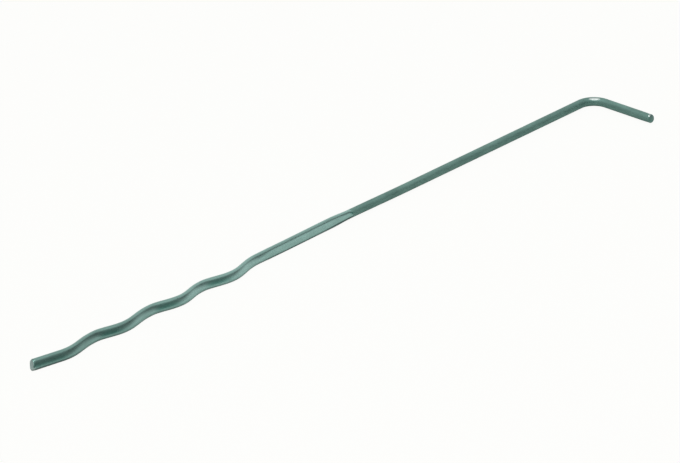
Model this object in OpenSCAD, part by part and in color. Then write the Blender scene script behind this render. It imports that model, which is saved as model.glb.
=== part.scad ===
// Masonry wall tie: one length of round steel wire, bent to a short leg at one end and pressed
// into flat-sided waves at the other. It lies on its side, with the leg and the waves in one plane.

/* [Wire] */
// Diameter of the round wire
wire_d = 4; // [3.5:0.1:4.5]
// Length over all, from the back of the leg to the middle of the waved end
tie_len = 400; // [340:5:480]
// Chamfer that the shears leave round both tips
tip_chamfer = 0.3; // [0.1:0.05:0.5]

/* [Leg] */
// Length of the leg, from the back of the shank to its tip
leg_len = 38; // [25:1:60]
// Inside radius of the bend
bend_r = 7; // [4:0.5:12]

/* [Pressed end] */
// Length of straight wire from the shoulder of the pressing to the first wave
press_straight = 66; // [20:1:100]
// Length over which the flats run out at the shoulder
press_lead = 3; // [1.5:0.5:8]
// Height of the fine rim that the dies raise round the wire at the shoulder
press_rim = 0.05; // [0.04:0.01:0.1]
// Angle by which the flats are rolled about the wire, so that those on the leg's side face up a little
flat_roll = 18; // [0:1:45]
// Thickness across the flats just past the shoulder
flat_start = 3; // [2.4:0.1:3.4]
// Thickness across the flats at the free end
flat_end = 2.6; // [2.2:0.1:3.4]
// Width of the flats and their rounded edges together, just past the shoulder
edge_start = 4.5; // [4:0.1:5]
// Width of the flats and their rounded edges together, at the free end
edge_end = 5.25; // [4.4:0.05:6]
// Width at which the rounded edges would close if the flats didn't cut them off
crown_w = 4.8; // [3.6:0.1:6]

/* [Waves] */
// Number of dips toward the leg's side
wave_count = 4; // [2:1:5]
// Depth of a dip, measured from the line of the shank
wave_depth = 3; // [1:0.1:5]
// Length from the top of a wave to its dip
wave_fall = 21.1; // [15:0.1:26]
// Length from a dip back to the top of the next wave
wave_rise = 17; // [12:0.1:22]
// Length from the last dip to where the wire runs straight again
tail_curve = 5.6; // [2:0.1:8]
// Length of the straight tail
tail_len = 15.5; // [6:0.5:30]

/* [Hidden] */
$fn = 64;
steel = [0.36, 0.48, 0.45];

wire_r = wire_d / 2;
rim_d = wire_d + 2 * press_rim;
bend_axis_r = bend_r + wire_r;
leg_tip = leg_len - wire_r;

// Distances along the shank, from the corner where its axis meets the leg's
end_at = tie_len - wire_r;
wave_pitch = wave_fall + wave_rise;
waves_run = wave_count * wave_pitch - wave_rise + tail_curve;
wave_at = end_at - tail_len - waves_run;
press_at = wave_at - press_straight;
press_full_at = press_at + press_lead;

// Fineness of the pressed end: rings along it, and steps round a flat and a rounded edge
rings_per_wave = 18;
lead_rings = 5;
flat_steps = 3;
edge_steps = 8;
least_corner = 6;

function blend(from, to, t) = from + (to - from) * t;
function eased(t) = t * t * (3 - 2 * t);
function clamp(x, limit) = max(-limit, min(limit, x));

// Offset and slope of one wave, at a length q from its top
function dip_offset(q) = q < wave_fall
    ? wave_depth / 2 * (1 - cos(180 * q / wave_fall))
    : wave_depth / 2 * (1 + cos(180 * (q - wave_fall) / wave_rise));
function dip_slope(q) = q < wave_fall
    ? wave_depth / 2 * PI / wave_fall * sin(180 * q / wave_fall)
    : -wave_depth / 2 * PI / wave_rise * sin(180 * (q - wave_fall) / wave_rise);

// Offset and slope of the wire's axis, at a length w past the start of the waves
function from_top(w) = w - wave_pitch * floor(w / wave_pitch);
function offset_at(w) = w <= 0 ? 0
    : dip_offset(from_top(min(w, waves_run))) + slope_at(w) * max(0, w - waves_run);
function slope_at(w) = w <= 0 ? 0 : dip_slope(from_top(min(w, waves_run)));

// A size of the section, at a length s from the corner
function pressed(round_size, start_size, end_size, s) = s < press_full_at
    ? blend(round_size, start_size, eased((s - press_at) / press_lead))
    : blend(start_size, end_size, (s - press_full_at) / (end_at - press_full_at));

// Half of the section is a flat and then a rounded edge, and the other half is its opposite
function section(flat, edge, crown) = let (
        corner = max(least_corner, acos(min(1, flat / crown))),
        flat_angles = [for (i = [0 : flat_steps - 1]) blend(-corner, corner, i / flat_steps)],
        edge_angles = [for (i = [0 : edge_steps - 1]) blend(corner, 180 - corner, i / edge_steps)],
        half = [for (angle = concat(flat_angles, edge_angles))
            [clamp(crown * cos(angle), flat) / 2, edge * sin(angle) / 2]]
    ) concat(half, -half);
function rolled(p) = [
    p[0] * cos(flat_roll) - p[1] * sin(flat_roll),
    p[0] * sin(flat_roll) + p[1] * cos(flat_roll)
];

// The section set square across the wire, at a length s from the corner
function ring(s, inset) = let (
        w = s - wave_at,
        slope = slope_at(w),
        stretch = sqrt(1 + slope * slope),
        flat = pressed(rim_d, flat_start, flat_end, s) - 2 * inset,
        edge = pressed(rim_d, edge_start, edge_end, s) - 2 * inset,
        crown = pressed(rim_d, crown_w, crown_w, s) - 2 * inset
    ) [for (flat_point = section(flat, edge, crown))
        let (p = rolled(flat_point))
        [-s + p[0] * slope / stretch, -offset_at(w) - p[0] / stretch, p[1]]];

wave_rings = ceil(waves_run / wave_pitch * rings_per_wave);
rings = concat(
    [for (i = [0 : lead_rings]) ring(blend(press_at, press_full_at, i / lead_rings), 0)],
    [for (i = [0 : wave_rings]) ring(wave_at + waves_run * i / wave_rings, 0)],
    [ring(end_at - tip_chamfer, 0), ring(end_at, tip_chamfer)]
);
around = len(rings[0]);
last = len(rings) - 1;
pressed_points = [for (r = rings) each r];
pressed_faces = concat(
    [[for (j = [0 : around - 1]) j]],
    [[for (j = [around - 1 : -1 : 0]) last * around + j]],
    [for (i = [0 : last - 1], j = [0 : around - 1])
        let (k = (j + 1) % around)
        [i * around + j, (i + 1) * around + j, (i + 1) * around + k, i * around + k]]
);

// Middle of the tie's box, at the height of its lowest point
box_low = [for (axis = [0 : 2]) min([for (p = pressed_points) p[axis]])];
side_high = max(wire_r, max([for (p = pressed_points) p[1]]));
footprint_middle = [(box_low[0] + wire_r) / 2, (side_high - leg_tip) / 2, box_low[2]];

module leg() {
    straight = leg_tip - bend_axis_r - tip_chamfer;
    translate([0, -bend_axis_r, 0]) rotate([90, 0, 0]) {
        cylinder(h = straight, d = wire_d);
        translate([0, 0, straight])
            cylinder(h = tip_chamfer, r1 = wire_r, r2 = wire_r - tip_chamfer);
    }
}

module bend() {
    translate([-bend_axis_r, -bend_axis_r, 0])
        rotate_extrude(angle = 90) translate([bend_axis_r, 0]) circle(d = wire_d);
}

module shank() {
    translate([-press_at, 0, 0]) rotate([0, 90, 0]) cylinder(h = press_at - bend_axis_r, d = wire_d);
}

module waved_end() {
    polyhedron(points = pressed_points, faces = pressed_faces, convexity = 6);
}

module wall_tie() {
    color(steel) translate(-footprint_middle) {
        leg();
        bend();
        shank();
        waved_end();
    }
}

wall_tie();
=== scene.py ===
# %% [markdown]
# A masonry wall tie, made the way the real one is made
#
# A wall tie holds two leaves of brickwork together across a cavity. This one is a single length of
# drawn steel wire. Dies have pressed one half of it flat on two sides and set it in waves, so that
# mortar grips it, and the other end has been bent to a short leg. The lesson follows the order of the
# workshop: a straight blank is drawn, pressed, dented, cut and marked, and only then bent along its
# line. Every mark that is made on the straight blank bends with it, which is how the marks on the real
# wire got where they are.

# %% The frame
import math

import bmesh
import bpy
from mathutils import Matrix, Vector


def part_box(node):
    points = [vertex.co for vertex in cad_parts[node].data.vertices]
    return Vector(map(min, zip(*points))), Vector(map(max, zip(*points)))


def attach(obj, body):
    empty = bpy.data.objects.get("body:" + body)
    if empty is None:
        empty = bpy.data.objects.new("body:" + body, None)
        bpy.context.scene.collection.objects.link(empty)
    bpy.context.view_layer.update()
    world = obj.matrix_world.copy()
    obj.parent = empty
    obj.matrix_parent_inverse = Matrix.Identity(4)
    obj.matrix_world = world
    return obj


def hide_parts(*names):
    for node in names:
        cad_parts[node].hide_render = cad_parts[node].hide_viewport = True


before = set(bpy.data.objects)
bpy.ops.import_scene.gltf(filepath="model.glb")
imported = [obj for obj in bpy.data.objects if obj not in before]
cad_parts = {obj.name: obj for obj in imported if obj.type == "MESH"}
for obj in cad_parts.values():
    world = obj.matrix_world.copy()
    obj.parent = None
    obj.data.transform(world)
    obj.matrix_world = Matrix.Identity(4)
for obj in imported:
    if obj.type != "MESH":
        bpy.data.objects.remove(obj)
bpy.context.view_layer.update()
MM = 0.001

# %% [markdown]
# The sizes
#
# The solids show an even tie, and the finished wire lies where they lie. This one tie differs from the
# even one by some tenths of a millimetre: its wire is a little stouter, its bend tighter and its leg
# longer. The corner is the point where the middle line of the leg would meet the middle line of the
# shank. It could be typed in, but found from the solids' box it stays right if they move: the back of
# the leg is the box's right side, and the tip of the leg is its front.

# %% Sizes of the wire
solid_r = 2.0 * MM
wire_r = 2.1 * MM
leg_tip = 36.0 * MM
leg_extra = 0.8 * MM
bend_axis_r = 8.6 * MM
shoulder_at = 175.5 * MM
press_lead = 14.0 * MM
die_round = 2.4 * MM
wave_at = 241.5 * MM

tie_low, tie_high = (Vector(point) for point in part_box("wall_tie"))
corner = Vector((tie_high.x - solid_r, tie_low.y + leg_tip, (tie_low.z + tie_high.z) / 2))
print("Corner of the two middle lines, in mm:", [round(c / MM, 2) for c in corner])

# %% [markdown]
# The line that the wire follows
#
# The middle line runs up the leg, round the bend, along the shank, and through the waves to the tail.
# Near the shoulder, where the flats start, the shank is bowed by half a millimetre. From one turning
# point of the waves to the next the line is half a cosine. The solids have four equal waves. On the
# real tie no two are alike: the dies bit deeper at the first dip than at the last, so here each turning
# point has a place and a depth of its own, and the line leaves a top more gently than it reaches one. A
# Bezier curve could be drawn by hand, but a poly curve with a point every half millimetre follows the
# cosines more closely, and its length can simply be added up.

# %% Turning points of the waves
tops = [(0.0, 0.0), (40.2, 0.55), (75.9, 0.1), (114.6, -0.3)]
dips = [(22.2, 3.75), (58.1, 3.35), (97.0, 2.95), (135.6, 2.45)]
wave_turns = [(along * MM, depth * MM) for pair in zip(tops, dips) for along, depth in pair]
fall_bend = 1.15
rise_bend = 0.88
tail_curve = 5.6 * MM
tail_slope = 0.195
tail_len = 16.85 * MM


def half_cosine(share):
    return (1 - math.cos(math.pi * share)) / 2


def wave_offset(along):
    for index, ((x_from, y_from), (x_to, y_to)) in enumerate(zip(wave_turns, wave_turns[1:])):
        if along <= x_to:
            share = (along - x_from) / (x_to - x_from)
            falling = index % 2 == 0
            from_top = share ** fall_bend if falling else (1 - share) ** rise_bend
            return y_from + (y_to - y_from) * half_cosine(from_top if falling else 1 - from_top)
    share = (along - wave_turns[-1][0]) / tail_curve
    return wave_turns[-1][1] - tail_slope * tail_curve / 2 * share * share


print("Deepest dip, in mm:", round(max(depth for along, depth in wave_turns) / MM, 2))

# %% Points of the middle line
bow_middle = 182.0 * MM
bow_reach = 50.0 * MM
bow_height = 0.55 * MM
bend_step = math.radians(1.5)
bow_step = 2.0 * MM
wave_step = 0.5 * MM


def spread(start, end, step):
    count = math.ceil((end - start) / step)
    return [start + (end - start) * i / count for i in range(count + 1)]


leg_line = [corner + Vector((0, -leg_tip - leg_extra, 0)), corner + Vector((0, -bend_axis_r, 0))]
bend_middle = corner + Vector((-bend_axis_r, -bend_axis_r, 0))
bend_line = [
    bend_middle + bend_axis_r * Vector((math.cos(turn), math.sin(turn), 0))
    for turn in spread(0, math.pi / 2, bend_step)
]
bow_line = [
    corner + Vector((-along, bow_height * half_cosine(1 - abs(along - bow_middle) / bow_reach), 0))
    for along in spread(bow_middle - bow_reach, bow_middle + bow_reach, bow_step)
]
wave_line = [
    corner + Vector((-wave_at - along, -wave_offset(along), 0))
    for along in spread(0, wave_turns[-1][0] + tail_curve, wave_step)
]
tail_end = wave_line[-1] + Vector((-1, tail_slope, 0)) * tail_len
middle_line = leg_line[:1] + bend_line + bow_line + wave_line + [tail_end]
print("Points on the middle line:", len(middle_line))

# %% A guide curve along the line
guide_data = bpy.data.curves.new("middle_line", "CURVE")
guide_data.dimensions = "3D"
guide_data.twist_mode = "Z_UP"
guide_spline = guide_data.splines.new("POLY")
guide_spline.points.add(len(middle_line) - 1)
for guide_point, place in zip(guide_spline.points, middle_line):
    guide_point.co = (*place, 1)
guide = bpy.data.objects.new("middle_line", guide_data)
bpy.context.collection.objects.link(guide)


def line_length(points):
    return sum((b - a).length for a, b in zip(points, points[1:]))


leg_run = line_length(leg_line)
bend_run = line_length(bend_line)
shoulder_x = leg_run + bend_run + shoulder_at - bend_axis_r
pressed_x = shoulder_x + press_lead
wave_x = shoulder_x + wave_at - shoulder_at
blank_len = line_length(middle_line)
print("Length of wire in one tie, in mm:", round(blank_len / MM, 1))

# %% [markdown]
# The straight blank
#
# The blank starts as a circle that stands across the X axis, and Extrude Repeat draws it out in
# stretches. Each stretch gets as many rings as its later shape needs: few along the straight leg and
# shank, many where the wire will bend, and one about every 0.7 mm in the pressed end. A cylinder with
# loop cuts would do the same, but loop cuts can't be spaced unevenly in one go. The blank stops short
# at both tips, because the rounded rims of the cuts are added later.

# %% Draw out the blank
columns = 96
leg_rings = 8
bend_rings = 44
shank_rings = 24
die_rings = 10
lead_rings = 14
pressed_rings = 290
leg_round = 0.8 * MM
end_round = 0.7 * MM
bpy.ops.object.select_all(action="DESELECT")
bpy.ops.mesh.primitive_circle_add(vertices=columns, radius=wire_r, rotation=(0, math.pi / 2, 0))
wire = bpy.context.object
wire.name = "tie_wire"
bpy.ops.object.transform_apply(location=False, rotation=True, scale=False)
bpy.ops.object.mode_set(mode="EDIT")
bpy.ops.mesh.select_all(action="SELECT")
bpy.ops.transform.translate(value=(leg_round, 0, 0))


def draw_out(length, rings):
    bpy.ops.mesh.extrude_repeat(steps=rings, offset=(length / rings, 0, 0), scale_offset=1)


draw_out(leg_run - leg_round, leg_rings)
draw_out(bend_run, bend_rings)
draw_out(shoulder_x - leg_run - bend_run, shank_rings)
draw_out(die_round, die_rings)
draw_out(press_lead - die_round, lead_rings)
draw_out(blank_len - end_round - pressed_x, pressed_rings)
print("Points in the blank:", len(bmesh.from_edit_mesh(wire.data).verts))

# %% [markdown]
# Pressing the flats
#
# Between the dies the wire gets thinner one way and spreads the other way. A Boolean could cut the
# flats, but a cut doesn't spread the wire, so this is done in two moves. First the rings are scaled to
# an oval, then the points that stand proud of a die's face are squeezed back toward that face.
# Squeezing them to a share of their height, and not to nothing, leaves the slight crown that pressed
# wire has. The points that a die touches are marked in the same move, because the finish differs there.
# At the shoulder the end of the die is a quarter round, so there the die goes in along a quarter
# circle, ring by ring. The spread follows more slowly, because the steel beside the die holds it back.

# %% Helpers that pick points and press them
hair = 0.01 * MM
crown_share = 0.4
edge_share = 0.7


def pick(wanted):
    mesh = bmesh.from_edit_mesh(wire.data)
    for vert in mesh.verts:
        vert.select_set(wanted(vert.co))
    mesh.select_flush_mode()
    bmesh.update_edit_mesh(wire.data)
    return sum(vert.select for vert in mesh.verts)


def mark_pressed(share):
    mesh = bmesh.from_edit_mesh(wire.data)
    layer = mesh.verts.layers.float["pressed_share"]
    for vert in mesh.verts:
        if vert.select:
            vert[layer] = share


def press(x_from, x_to, oval_y, oval_z, die_y):
    pick(lambda co: x_from - hair < co.x < x_to + hair)
    bpy.ops.transform.resize(value=(1, oval_y / wire_r, oval_z / wire_r), center_override=(0, 0, 0))
    mark_pressed(edge_share)
    for side in (1, -1):
        proud = pick(lambda co: x_from - hair < co.x < x_to + hair and co.y * side > die_y + hair)
        if proud:
            bpy.ops.transform.resize(value=(1, crown_share, 1), center_override=(0, die_y * side, 0))
            mark_pressed(1)


# %% Press the long stretch and its lead
full_oval_y = 1.58 * MM
full_oval_z = 2.66 * MM
full_die_y = 1.255 * MM
bpy.context.tool_settings.mesh_select_mode = (True, False, False)
bmesh.from_edit_mesh(wire.data).verts.layers.float.new("pressed_share")
press(pressed_x, blank_len, full_oval_y, full_oval_z, full_die_y)
die_stretch = [die_round * ring / die_rings for ring in range(1, die_rings)]
lead_stretch = [die_round + (press_lead - die_round) * ring / lead_rings for ring in range(lead_rings)]
for along in die_stretch + lead_stretch:
    spread_share = half_cosine(along / press_lead)
    ring_y = wire_r + (full_oval_y - wire_r) * spread_share
    ring_z = wire_r + (full_oval_z - wire_r) * spread_share
    die_share = math.sqrt(1 - max(0, 1 - along / die_round) ** 2)
    ring_die = wire_r + (full_die_y - wire_r) * die_share
    press(shoulder_x + along, shoulder_x + along, ring_y, ring_z, ring_die)
print("Flats pressed from x =", round(shoulder_x / MM, 1), "mm")

# %% [markdown]
# Softening the corners and shaping the waved stretch
#
# A die doesn't leave a knife edge beside its flat, so the pressed stretch is smoothed across its length
# a few times. The waves were set by a second pair of dies, which squeezed the edges in a little and
# turned the flats by some degrees. Toward the free end the wire is stouter again, and turned a little
# further. Rings could be shaped one by one, but proportional editing does it in a few moves: a smooth
# fall-off starts the waved stretch gently, and a linear one carries the change of the last ring evenly
# back to the first wave.

# %% Soften the corners
soften_share = 0.5
soften_rounds = 9
softened = pick(lambda co: co.x > shoulder_x + die_round)
bpy.ops.mesh.vertices_smooth(factor=soften_share, repeat=soften_rounds, xaxis=False)
print("Points softened:", softened)

# %% Shape the waved stretch
flare_x = blank_len - end_round
wave_start = 10.0 * MM
second_dies = {"scale": (1, 1.05, 0.94), "turn": math.radians(8.4)}
free_end = {"scale": (1, 1.1, 1.1), "turn": math.radians(6)}


def reshape(from_x, change, falloff, reach):
    pick(lambda co: co.x > from_x - hair)
    fading = {
        "center_override": (0, 0, 0),
        "use_proportional_edit": True,
        "proportional_edit_falloff": falloff,
        "proportional_size": reach,
    }
    bpy.ops.transform.resize(value=change["scale"], **fading)
    bpy.ops.transform.rotate(value=-change["turn"], orient_axis="X", **fading)


reshape(wave_x, second_dies, "SMOOTH", wave_start)
reshape(flare_x, free_end, "LINEAR", flare_x - wave_x)
end_ring = [v.co for v in bmesh.from_edit_mesh(wire.data).verts if v.co.x > flare_x - hair]
end_half = [max(abs(co[axis]) for co in end_ring) for axis in (1, 2)]
print("Section at the free end, in mm:", [round(2 * half / MM, 2) for half in end_half])

# %% [markdown]
# A dent in the bend
#
# The tool that bent the wire flattened a small spot on the upper side of the bend, and light catches it
# there. A Boolean could cut the spot away, but it would also cut up the rings. Here the points that
# stand proud of a shallow hollow are moved more than half the way back to it, as a blow from that side
# would do, and the rings stay whole.

# %% Dent the bend
dent_share = 0.43
dent_middle = leg_run + dent_share * bend_run
dent_turn = math.radians(43)
dent_reach = 3.2 * MM
dent_depth = 0.1 * MM
dent_left = 0.4
dent_way = Vector((0, math.sin(dent_turn), math.cos(dent_turn)))


def dent(place):
    along = (place.x - dent_middle) / dent_reach
    proud = place.dot(dent_way) - wire_r + dent_depth * (1 - along * along)
    return dent_way * proud * (1 - dent_left) if abs(along) < 1 and proud > 0 else Vector()


blank_mesh = bmesh.from_edit_mesh(wire.data)
for vert in blank_mesh.verts:
    vert.co -= dent(vert.co)
bmesh.update_edit_mesh(wire.data)
print("Dent in the bend, in mm:", round(2 * dent_reach / MM, 1), "by", round(dent_depth / MM, 2))

# %% [markdown]
# Sheared tips
#
# Both tips were cut in a shear, which drags the rim over. A bevel would do it, but on so fine a ring
# its corners overlap, so the rim is drawn out in short steps, each scaled in along a quarter circle.
# Scaling about a point beside the middle makes the rim rounder on one side than on the other, as the
# blade leaves it. A face closes the end, and a shallow inset in it stands for the dull zone where the
# steel broke. The whole cut is then turned, because a shear never cuts quite square.

# %% Close and round the tips
rim_steps = 6
break_inset = 0.3 * MM
break_depth = 0.06 * MM
leg_drag = Vector((0, -0.7, 0.9)) * MM
end_drag = Vector((0, 0, 0.6)) * MM
leg_leans = {"Y": math.radians(-18), "Z": math.radians(5)}
end_leans = {"Y": math.radians(18)}


def close_tip(ring_x, outward, rim_round, half_y, half_z, leans, drag):
    pick(lambda co: (co.x - ring_x) * outward > -hair)
    for step in range(rim_steps):
        turns = [math.pi / 2 * (step + ahead) / rim_steps for ahead in (0, 1)]
        insets = [rim_round * (1 - math.cos(turn)) for turn in turns]
        advance = rim_round * (math.sin(turns[1]) - math.sin(turns[0]))
        scale_y = (half_y - insets[1]) / (half_y - insets[0])
        scale_z = (half_z - insets[1]) / (half_z - insets[0])
        bpy.ops.mesh.extrude_region_move(TRANSFORM_OT_translate={"value": (advance * outward, 0, 0)})
        bpy.ops.transform.resize(value=(1, scale_y, scale_z), center_override=drag)
    bpy.ops.mesh.edge_face_add()
    for face in bmesh.from_edit_mesh(wire.data).faces:
        face.material_index = 1 if face.select else face.material_index
    bpy.ops.mesh.inset(thickness=break_inset, depth=-break_depth)
    pick(lambda co: (co.x - ring_x) * outward > -hair)
    for axis, lean in leans.items():
        bpy.ops.transform.rotate(value=lean, orient_axis=axis, center_override=(ring_x, 0, 0))


close_tip(leg_round, -1, leg_round, wire_r, wire_r, leg_leans, leg_drag)
close_tip(flare_x, 1, end_round, *end_half, end_leans, end_drag)
bpy.ops.mesh.select_all(action="SELECT")
bpy.ops.mesh.normals_make_consistent(inside=False)
print("Faces in the blank:", len(bmesh.from_edit_mesh(wire.data).faces))

# %% [markdown]
# Marks that bend with the wire
#
# Drawing, pressing and bending leave marks on the wire. So that the finishes can follow the wire round its
# bends, every point keeps its place on the straight blank in an attribute. A second attribute, from the
# pressing, says where the dies touched. A third says where the film is rubbed off and a highlight is
# painted pale: in the dent of the bend and at one spot on the leg's rim, where the lamp's highlights fall,
# and a little all round the rim of the free end. It could be painted by hand, but a spot that is measured
# from its middle can be moved by its numbers. A shader reads all three by name.

# %% Places where the film is rubbed off and highlights are painted
# The spots on the bend and on the leg's rim are bare steel and also painted highlights: they sit where the
# overhead lamp's highlights fall.
bend_rub_and_highlight_spot = (dent_middle * Vector((1, 0, 0)) + wire_r * dent_way, Vector((3.5, 0.8, 0.8)) * MM)
leg_rub_and_highlight_spot = (Vector((0.45, 1.1, 1.6)) * MM, Vector((0.85, 0.85, 0.85)) * MM)
spot_soft = 0.3
rim_rub = 0.3 * MM
rim_rub_and_highlight_share = 0.4


def spot_share(place, spot):
    middle, reach = spot
    away_by = Vector([(place[axis] - middle[axis]) / reach[axis] for axis in range(3)]).length
    return half_cosine(min(1, max(0, (1 - away_by) / spot_soft)))


def rubbed_and_highlight(place):
    # Round the rim of the free end: a little bare steel and painted highlight.
    on_rim = rim_rub_and_highlight_share * min(1, max(0, (place.x - flare_x) / rim_rub))
    return max(spot_share(place, bend_rub_and_highlight_spot), spot_share(place, leg_rub_and_highlight_spot), on_rim)


# %% Store the marks on the blank
bpy.ops.object.mode_set(mode="OBJECT")
blank_points = [vert.co.copy() for vert in wire.data.vertices]
# This share carries both the bare steel and the painted highlights.
rubbed_and_highlight_shares = [rubbed_and_highlight(co) for co in blank_points]
wire.data.attributes.new("blank_place", "FLOAT_VECTOR", "POINT")
wire.data.attributes.new("rubbed_and_highlight_share", "FLOAT", "POINT")
wire.data.attributes["blank_place"].data.foreach_set("vector", [c for co in blank_points for c in co])
wire.data.attributes["rubbed_and_highlight_share"].data.foreach_set("value", rubbed_and_highlight_shares)
print("Points that are rubbed bare:", sum(share > 0 for share in rubbed_and_highlight_shares))

# %% [markdown]
# Bending
#
# The leg wasn't bent quite square to the flats: seen along the shank, the flats lean back by some
# degrees. The whole blank is rolled by that angle about its own axis, which changes nothing in the
# shape of the round stretches. A Curve modifier then lays the blank along the guide, with the tip of
# the leg at the guide's start. Rotating ring after ring would do it too, but the modifier also keeps
# the rings square to the line.

# %% Roll and bend the blank
flat_roll = math.radians(14)
smooth_limit = math.radians(35)
bpy.ops.object.mode_set(mode="EDIT")
bpy.ops.mesh.select_all(action="SELECT")
bpy.ops.transform.rotate(value=-flat_roll, orient_axis="X", center_override=(0, 0, 0))
bpy.ops.object.mode_set(mode="OBJECT")
bpy.ops.object.modifier_add(type="CURVE")
bend_to_guide = wire.modifiers[-1]
bend_to_guide.object = guide
bend_to_guide.deform_axis = "POS_X"
bpy.ops.object.modifier_apply(modifier=bend_to_guide.name)
bpy.ops.object.shade_smooth_by_angle(angle=smooth_limit)
bpy.data.objects.remove(guide)
lowest = min(vert.co.z for vert in wire.data.vertices)
wire.data.transform(Matrix.Translation((0, 0, tie_low.z - lowest)))
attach(wire, "root")
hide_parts("wall_tie")
wire_points = [v.co for v in wire.data.vertices]
wire_low = [min(co[axis] for co in wire_points) / MM for axis in range(3)]
wire_high = [max(co[axis] for co in wire_points) / MM for axis in range(3)]
print("Bent wire, low:", [round(c, 2) for c in wire_low], "high:", [round(c, 2) for c in wire_high])

# %% [markdown]
# Helpers for the finishes
#
# A finish is a graph of nodes. Written out link by link it is hard to read, so one helper adds a node,
# sets what is a plain value and links what is a socket. Two effects are node groups that are built
# once. The first is unevenness: noise that is stretched by a scale for each direction, so that the same
# group gives long drawing lines, cross marks or round patches. The second is pits: the cells of a
# Voronoi texture, where only a share of the cells has a pit in its middle.

# %% A helper that adds a node
def add_node(tree, kind, inputs, **settings):
    node = tree.nodes.new(kind)
    for name, value in settings.items():
        setattr(node, name, value)
    for name, value in inputs.items():
        if isinstance(value, bpy.types.NodeSocket):
            tree.links.new(value, node.inputs[name])
        else:
            node.inputs[name].default_value = value
    return node


# %% Helpers for ranges, mixes and sums
def range_of(tree, value, low, high, to_low, to_high, **settings):
    ends = {"From Min": low, "From Max": high, "To Min": to_low, "To Max": to_high}
    return add_node(tree, "ShaderNodeMapRange", {"Value": value, **ends}, **settings).outputs["Result"]


def between(tree, share, low, high):
    return range_of(tree, share, 0, 1, low, high)


def blend_colour(tree, share, first, second):
    inputs = {"Factor": share, "A": first, "B": second}
    return add_node(tree, "ShaderNodeMix", inputs, data_type="RGBA").outputs["Result"]


def blend_value(tree, share, first, second):
    return add_node(tree, "ShaderNodeMix", {"Factor": share, "A": first, "B": second}).outputs["Result"]


def maths(tree, operation, *values):
    return add_node(tree, "ShaderNodeMath", dict(enumerate(values)), operation=operation).outputs["Value"]


# %% Unevenness, as a node group
def start_group(name, inputs, output):
    group = bpy.data.node_groups.new(name, "ShaderNodeTree")
    for socket_name, socket_type in inputs.items():
        group.interface.new_socket(name=socket_name, in_out="INPUT", socket_type=socket_type)
    group.interface.new_socket(name=output, in_out="OUTPUT", socket_type="NodeSocketFloat")
    return group, group.nodes.new("NodeGroupInput").outputs


noise_low = 0.3
noise_high = 0.7
uneven, uneven_in = start_group(
    "unevenness", {"Place": "NodeSocketVector", "Scale": "NodeSocketVector"}, "Share"
)
uneven_place = add_node(
    uneven, "ShaderNodeVectorMath", {0: uneven_in["Place"], 1: uneven_in["Scale"]}, operation="MULTIPLY"
)
uneven_noise = add_node(
    uneven,
    "ShaderNodeTexNoise",
    {"Vector": uneven_place.outputs["Vector"], "Scale": 1.0, "Detail": 3.0, "Roughness": 0.55},
)
uneven_share = range_of(uneven, uneven_noise.outputs["Fac"], noise_low, noise_high, 0.0, 1.0)
add_node(uneven, "NodeGroupOutput", {"Share": uneven_share})


def uneven_by(tree, place, scale):
    inputs = {"Place": place, "Scale": scale}
    return add_node(tree, "ShaderNodeGroup", inputs, node_tree=uneven).outputs["Share"]


print("Nodes in the unevenness group:", len(uneven.nodes))

# %% Pits, as a node group
pit_floor = 0.07
pit_rim = 0.16
pits, pits_in = start_group(
    "pits", {"Place": "NodeSocketVector", "Scale": "NodeSocketFloat", "Common": "NodeSocketFloat"}, "Depth"
)
pit_cells = add_node(
    pits, "ShaderNodeTexVoronoi", {"Vector": pits_in["Place"], "Scale": pits_in["Scale"]}
)
pit_round = range_of(pits, pit_cells.outputs["Distance"], pit_floor, pit_rim, 1.0, 0.0)
pit_lot = add_node(pits, "ShaderNodeSeparateColor", {"Color": pit_cells.outputs["Color"]})
pit_chosen = maths(pits, "LESS_THAN", pit_lot.outputs["Red"], pits_in["Common"])
add_node(pits, "NodeGroupOutput", {"Depth": maths(pits, "MULTIPLY", pit_round, pit_chosen)})
print("Nodes in the pits group:", len(pits.nodes))

# %% [markdown]
# The wire's finish
#
# Drawn wire is matt: the drawing die leaves long fine lines, and a thin grey-green film of oxide and
# drawing soap lies on it in patches. The pressing dies burnished that film, so the flats are paler and
# shinier, with faint marks across them, and duller toward the free end. Along the lower edge of the flats
# the colour is darkened as painted shade, for the wire's shadow on the paper that this edge mirrors. It is
# widest beside the shoulder and faint along the waves. Two materials could be assigned face by face, but
# then the border would be as jagged as the mesh. One material that mixes both by the pressed share gives a
# soft border. The share of rubbing and painted highlight bares the spots on the bend and the rims in the
# same way, and paints them pale where the lamp's highlights fall.

# %% Start the wire's material
def start_finish(name):
    finish = bpy.data.materials.new(name)
    finish.use_nodes = True
    shader = finish.node_tree.nodes["Principled BSDF"]
    shader.inputs["Metallic"].default_value = 1.0
    return finish.node_tree, shader, finish


def attribute(tree, name, output):
    return add_node(tree, "ShaderNodeAttribute", {}, attribute_name=name).outputs[output]


line_scale = (25, 2500, 2500)
patch_scale = (110, 330, 330)
die_mark_scale = (1300, 180, 180)
pit_scale = 700
pit_common = 0.1
drawn, drawn_shader, drawn_steel = start_finish("drawn_steel")
drawn_place = attribute(drawn, "blank_place", "Vector")
pressed_here = attribute(drawn, "pressed_share", "Fac")
# This share marks bare steel and painted highlights alike.
rubbed_and_highlight_here = attribute(drawn, "rubbed_and_highlight_share", "Fac")
drawing_lines = uneven_by(drawn, drawn_place, line_scale)
film_patches = uneven_by(drawn, drawn_place, patch_scale)
die_marks = uneven_by(drawn, drawn_place, die_mark_scale)
pit_inputs = {"Place": drawn_place, "Scale": pit_scale, "Common": pit_common}
pit_here = add_node(drawn, "ShaderNodeGroup", pit_inputs, node_tree=pits).outputs["Depth"]
print("Nodes that read the marks:", len(drawn.nodes))
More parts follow.
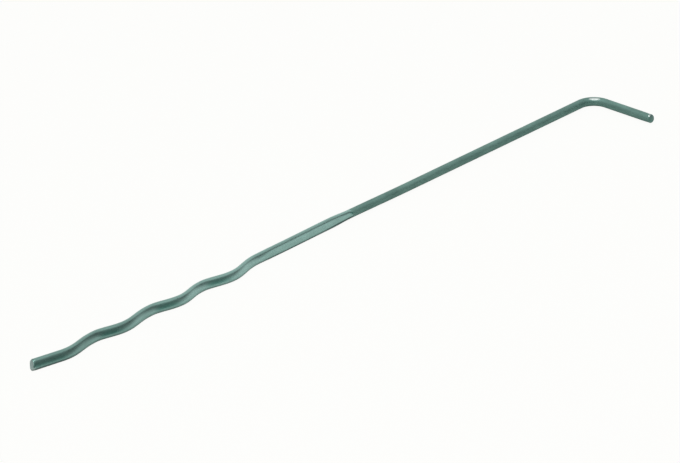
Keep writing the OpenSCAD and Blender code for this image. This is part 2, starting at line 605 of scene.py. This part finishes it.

# %% Where the flats are duller, and where shade is painted under them
dull_from = wave_x + 20 * MM
dull_to = blank_len - 20 * MM
# Painted shade: the lower edge of the flats is darkened where it mirrors the wire's shadow on the paper.
# It is widest beside the shoulder, fainter along the waves, and full again at the tail.
shade_reach = 24 * MM
shade_soft = 0.4 * MM
shoulder_shade_z = -0.7 * MM
flat_shade_z = -1.45 * MM
wave_shade = 0.45
waves_begin = (wave_x - 10 * MM, wave_x + 25 * MM)
tail_begins = (blank_len - 40 * MM, blank_len - 20 * MM)
drawn_axes = add_node(drawn, "ShaderNodeSeparateXYZ", {"Vector": drawn_place}).outputs
along_wire = drawn_axes["X"]
toward_end = range_of(drawn, along_wire, dull_from, dull_to, 0, 1)
shade_top = range_of(
    drawn, along_wire, shoulder_x, shoulder_x + shade_reach, shoulder_shade_z, flat_shade_z
)
shade_below = maths(drawn, "SUBTRACT", shade_top, shade_soft)
shaded_edge_share = range_of(drawn, drawn_axes["Z"], shade_top, shade_below, 0, 1)
before_waves = range_of(drawn, along_wire, *waves_begin, 1, wave_shade)
past_waves = range_of(drawn, along_wire, *tail_begins, wave_shade, 1)
shade_strength = maths(drawn, "MAXIMUM", before_waves, past_waves)
shade_on_flats = maths(drawn, "MULTIPLY", shaded_edge_share, pressed_here)
painted_shade_here = maths(drawn, "MULTIPLY", shade_on_flats, shade_strength)
print("Flats duller over, in mm:", round((dull_to - dull_from) / MM, 1))

# %% Colour of the wire
film_dark = (0.165, 0.287, 0.253, 1)
film_pale = (0.222, 0.377, 0.333, 1)
near_dark = (0.295, 0.475, 0.43, 1)
near_pale = (0.345, 0.55, 0.505, 1)
far_dark = (0.2, 0.34, 0.305, 1)
far_pale = (0.24, 0.4, 0.36, 1)
# The darkest tone is painted shade along the lower edge of the flats.
painted_shade_tone = (0.06, 0.11, 0.1, 1)
# The palest tone is bare steel and also a painted highlight.
bare_and_highlight_tone = (0.78, 0.84, 0.82, 1)
pit_tone = (0.06, 0.1, 0.09, 1)
drawn_tone = blend_colour(drawn, film_patches, film_dark, film_pale)
near_tone = blend_colour(drawn, film_patches, near_dark, near_pale)
far_tone = blend_colour(drawn, film_patches, far_dark, far_pale)
flat_tone = blend_colour(drawn, toward_end, near_tone, far_tone)
worked_tone = blend_colour(drawn, pressed_here, drawn_tone, flat_tone)
# Painted shade along the lower edge of the flats.
tone_with_painted_shade = blend_colour(drawn, painted_shade_here, worked_tone, painted_shade_tone)
# Bare steel and painted highlight on the spots where the lamp's highlights fall.
bare_and_highlight_share = maths(drawn, "MULTIPLY", rubbed_and_highlight_here, between(drawn, film_patches, 0.75, 0.95))
steel_tone = blend_colour(drawn, bare_and_highlight_share, tone_with_painted_shade, bare_and_highlight_tone)
pitted_tone = blend_colour(drawn, pit_here, steel_tone, pit_tone)
drawn.links.new(pitted_tone, drawn_shader.inputs["Base Color"])
print("Nodes with the colours:", len(drawn.nodes))

# %% Roughness and relief of the wire
drawn_rough = between(drawn, drawing_lines, 0.57, 0.66)
flat_rough = between(drawn, die_marks, 0.27, 0.32)
rubbed_rough = between(drawn, drawing_lines, 0.29, 0.32)
worked_rough = blend_value(drawn, pressed_here, drawn_rough, flat_rough)
steel_rough = blend_value(drawn, rubbed_and_highlight_here, worked_rough, rubbed_rough)
drawn.links.new(steel_rough, drawn_shader.inputs["Roughness"])

flat_relief = between(drawn, die_marks, 0.45, 0.55)
rubbed_relief = between(drawn, drawing_lines, 0.49, 0.51)
pit_relief = between(drawn, pit_here, 0, -1.5)
worked_relief = blend_value(drawn, pressed_here, drawing_lines, flat_relief)
pitted_relief = maths(drawn, "ADD", worked_relief, pit_relief)
steel_relief = blend_value(drawn, rubbed_and_highlight_here, pitted_relief, rubbed_relief)
steel_bump = add_node(
    drawn, "ShaderNodeBump", {"Strength": 0.3, "Distance": 0.015 * MM, "Height": steel_relief}
)
drawn.links.new(steel_bump.outputs["Normal"], drawn_shader.inputs["Normal"])
print("Nodes in the wire's finish:", len(drawn.nodes))

# %% [markdown]
# The sheared ends
#
# A shear slides over the steel before it breaks, so the cut face is bare and scored in the direction that
# the blade went. It shares the unevenness group with the wire, stretched along the cut instead of along
# the wire. The cut at the leg is darker than the one at the free end. Two materials would do, but one that
# mixes both tones by the place along the blank is shorter. The faces that close the tips get this
# material, and the rims keep the wire's own.

# %% Finish the sheared ends
blade_scale = (600, 3200, 350)
cut_patch_scale = (700, 700, 700)
leg_cut_dark = (0.13, 0.22, 0.2, 1)
leg_cut_pale = (0.18, 0.29, 0.26, 1)
end_cut_dark = (0.3, 0.4, 0.38, 1)
end_cut_pale = (0.4, 0.5, 0.48, 1)
cut, cut_shader, cut_steel = start_finish("sheared_steel")
cut_place = attribute(cut, "blank_place", "Vector")
blade_lines = uneven_by(cut, cut_place, blade_scale)
cut_patches = uneven_by(cut, cut_place, cut_patch_scale)
cut_axes = add_node(cut, "ShaderNodeSeparateXYZ", {"Vector": cut_place}).outputs
at_free_end = range_of(cut, cut_axes["X"], leg_run, flare_x, 0, 1)
leg_cut_tone = blend_colour(cut, cut_patches, leg_cut_dark, leg_cut_pale)
end_cut_tone = blend_colour(cut, cut_patches, end_cut_dark, end_cut_pale)
cut_tone = blend_colour(cut, at_free_end, leg_cut_tone, end_cut_tone)
cut.links.new(cut_tone, cut_shader.inputs["Base Color"])
cut_rough = between(cut, blade_lines, 0.24, 0.38)
cut.links.new(cut_rough, cut_shader.inputs["Roughness"])
cut_bump = add_node(
    cut, "ShaderNodeBump", {"Strength": 0.35, "Distance": 0.02 * MM, "Height": blade_lines}
)
cut.links.new(cut_bump.outputs["Normal"], cut_shader.inputs["Normal"])

wire.data.materials.append(drawn_steel)
wire.data.materials.append(cut_steel)
print("Faces on the cuts:", sum(face.material_index for face in wire.data.polygons))

# %% [markdown]
# The camera
#
# The photograph was taken from far away with a long lens, from the left of the shank and a little above
# it. A long lens keeps the near and the far end of the tie almost equally thick. The lens's own axis is
# aimed so that the part's origin falls on the pixel where the photograph shows it. Shifting the lens
# would frame it as well, but aiming the whole camera keeps other views of the scene centred.

# %% Place the camera
view_turn = math.radians(49.45)
view_rise = math.radians(24.27)
image_w = 680
image_h = 463
pixels_per_m = 2147.5
origin_px = (346.0, 243.65)
right = Vector((math.cos(view_turn), -math.sin(view_turn), 0))
away = Vector((math.sin(view_turn), math.cos(view_turn), 0))
height = Vector((0, 0, 1))
up = away * math.sin(view_rise) + height * math.cos(view_rise)
forward = away * math.cos(view_rise) - height * math.sin(view_rise)
aim = (right * (image_w / 2 - origin_px[0]) + up * (origin_px[1] - image_h / 2)) / pixels_per_m

camera_data = bpy.data.cameras.new("long_lens")
camera_data.lens = 1000
camera_data.sensor_width = 36
camera_data.clip_end = 100
view_distance = camera_data.lens / camera_data.sensor_width * image_w / pixels_per_m
camera = bpy.data.objects.new("long_lens", camera_data)
camera_turn = Matrix((right, up, -forward)).transposed().to_4x4()
camera.matrix_world = Matrix.Translation(aim - forward * view_distance) @ camera_turn
bpy.context.collection.objects.link(camera)
bpy.context.scene.camera = camera
print("Camera distance, in m:", round(view_distance, 2))

# %% [markdown]
# The floor
#
# The tie lies on white paper that fills the picture. Paper that is only lit comes out grey, and more
# light would wash out the steel, so for the camera most of the paper's brightness is its own. The rest
# is lit paper, which keeps a faint shadow under the wire. Mirrored in the steel it is nearly all lit
# paper, with only a little light of its own, so that the dark line where the wire touches it stays.

# %% Lay the floor
floor_size = 120
paper_scale = (900, 900, 900)
paper_dark = (0.68, 0.68, 0.67, 1)
paper_pale = (0.76, 0.76, 0.75, 1)
paper_white = (1, 1, 0.985, 1)
own_shares = {"Is Camera Ray": 0.95, "Is Glossy Ray": 0.08, "Is Transmission Ray": 0.95}
bpy.ops.object.select_all(action="DESELECT")
bpy.ops.mesh.primitive_plane_add(size=floor_size)
floor = bpy.context.object
floor.name = "floor"
paper = bpy.data.materials.new("white_paper")
paper.use_nodes = True
sheet = paper.node_tree
paper_shader = sheet.nodes["Principled BSDF"]
paper_shader.inputs["Roughness"].default_value = 0.9
paper_place = add_node(sheet, "ShaderNodeTexCoord", {}).outputs["Object"]
paper_fibres = uneven_by(sheet, paper_place, paper_scale)
paper_tone = blend_colour(sheet, paper_fibres, paper_dark, paper_pale)
sheet.links.new(paper_tone, paper_shader.inputs["Base Color"])
paper_glow = add_node(sheet, "ShaderNodeEmission", {"Color": paper_white, "Strength": 1.0})
paper_rays = add_node(sheet, "ShaderNodeLightPath", {}).outputs
own_light = 0.0
for ray, own_share in own_shares.items():
    own_light = maths(sheet, "MULTIPLY_ADD", paper_rays[ray], own_share, own_light)
paper_layers = {"Fac": own_light, 1: paper_shader.outputs["BSDF"], 2: paper_glow.outputs["Emission"]}
paper_mix = add_node(sheet, "ShaderNodeMixShader", paper_layers)
sheet.links.new(paper_mix.outputs["Shader"], sheet.nodes["Material Output"].inputs["Surface"])
floor.data.materials.append(paper)
print("Floor, in m:", tuple(floor.dimensions))

# %% [markdown]
# The light
#
# Bare metal shows the room around it, so the room is what gives the tie its look. The reflections in the
# photograph tell what was there: a bright horizon under darker walls, a dark and greenish side to the
# front and right, a bright wall behind, a half-bright side to the left, a soft ceiling, and one long
# narrow lamp overhead, a little toward the camera. The lamp makes the white spots on the bend and on the
# leg's tip, where pale highlights are also painted into the wire's colour. Boards and boxes could stand
# round the tie as in a studio, but they would get in the way of other views. The world holds the room as
# broad zones by direction, and the lamp is an area light.

# %% A world, and helpers for its zones
world = bpy.data.worlds.new("studio")
world.use_nodes = True
room = world.node_tree
room_way = add_node(room, "ShaderNodeTexCoord", {}).outputs["Generated"]
room_height = add_node(room, "ShaderNodeSeparateXYZ", {"Vector": room_way}).outputs["Z"]


def toward(direction):
    inputs = {0: room_way, 1: direction}
    return add_node(room, "ShaderNodeVectorMath", inputs, operation="DOT_PRODUCT").outputs["Value"]


def zone(value, limits, levels):
    return range_of(room, value, *limits, *levels, interpolation_type="SMOOTHSTEP")


# %% Light the room
dark_turn = math.radians(60)
dark_way = right * math.cos(dark_turn) - away * math.sin(dark_turn)
horizon = zone(room_height, (0.0, 0.31), (1.05, 0.16))
left_share = zone(toward(right), (-0.9, -0.5), (1.0, 0.0))
dark_share = zone(toward(dark_way), (0.53, 0.97), (0.0, 1.0))
back_share = zone(toward(away), (0.44, 0.78), (0.0, 1.0))
ceiling_share = zone(room_height, (0.475, 0.66), (0.0, 1.0))
left_level = 0.6
dark_level = 0.12
back_level = 0.98
ceiling_level = 0.72
plain_tint = (1, 1, 1, 1)
dark_tint = (0.12, 1, 0.82, 1)
open_sides = blend_value(room, left_share, horizon, left_level)
sides = blend_value(room, dark_share, open_sides, dark_level)
walls = blend_value(room, back_share, sides, back_level)
whole_room = blend_value(room, ceiling_share, walls, ceiling_level)
room_tint = blend_colour(room, dark_share, plain_tint, dark_tint)
room_light = room.nodes["Background"]
room.links.new(room_tint, room_light.inputs["Color"])
room.links.new(whole_room, room_light.inputs["Strength"])
backdrop = add_node(room, "ShaderNodeBackground", {"Color": paper_white, "Strength": 1.0})
seen = add_node(room, "ShaderNodeLightPath", {}).outputs["Is Camera Ray"]
room_layers = {"Fac": seen, 1: room_light.outputs["Background"], 2: backdrop.outputs["Background"]}
room_mix = add_node(room, "ShaderNodeMixShader", room_layers)
room.links.new(room_mix.outputs["Shader"], room.nodes["World Output"].inputs["Surface"])
bpy.context.scene.world = world
print("Nodes in the room:", len(room.nodes))

# %% Hang the lamp
lamp_long = 1.0
lamp_wide = 0.18
lamp_radiance = 18.0
lamp_place = Vector((-0.36, -0.32, 1.6))
lamp_data = bpy.data.lights.new("overhead_lamp", "AREA")
lamp_data.shape = "RECTANGLE"
lamp_data.size = lamp_long
lamp_data.size_y = lamp_wide
lamp_data.energy = lamp_radiance * math.pi * lamp_long * lamp_wide
lamp = bpy.data.objects.new("overhead_lamp", lamp_data)
lamp.matrix_world = Matrix.Translation(lamp_place) @ Matrix((right, away, height)).transposed().to_4x4()
lamp.visible_camera = False
bpy.context.collection.objects.link(lamp)
bpy.context.scene.view_settings.view_transform = "Standard"
print("Lamp's power, in W:", round(lamp_data.energy, 1))
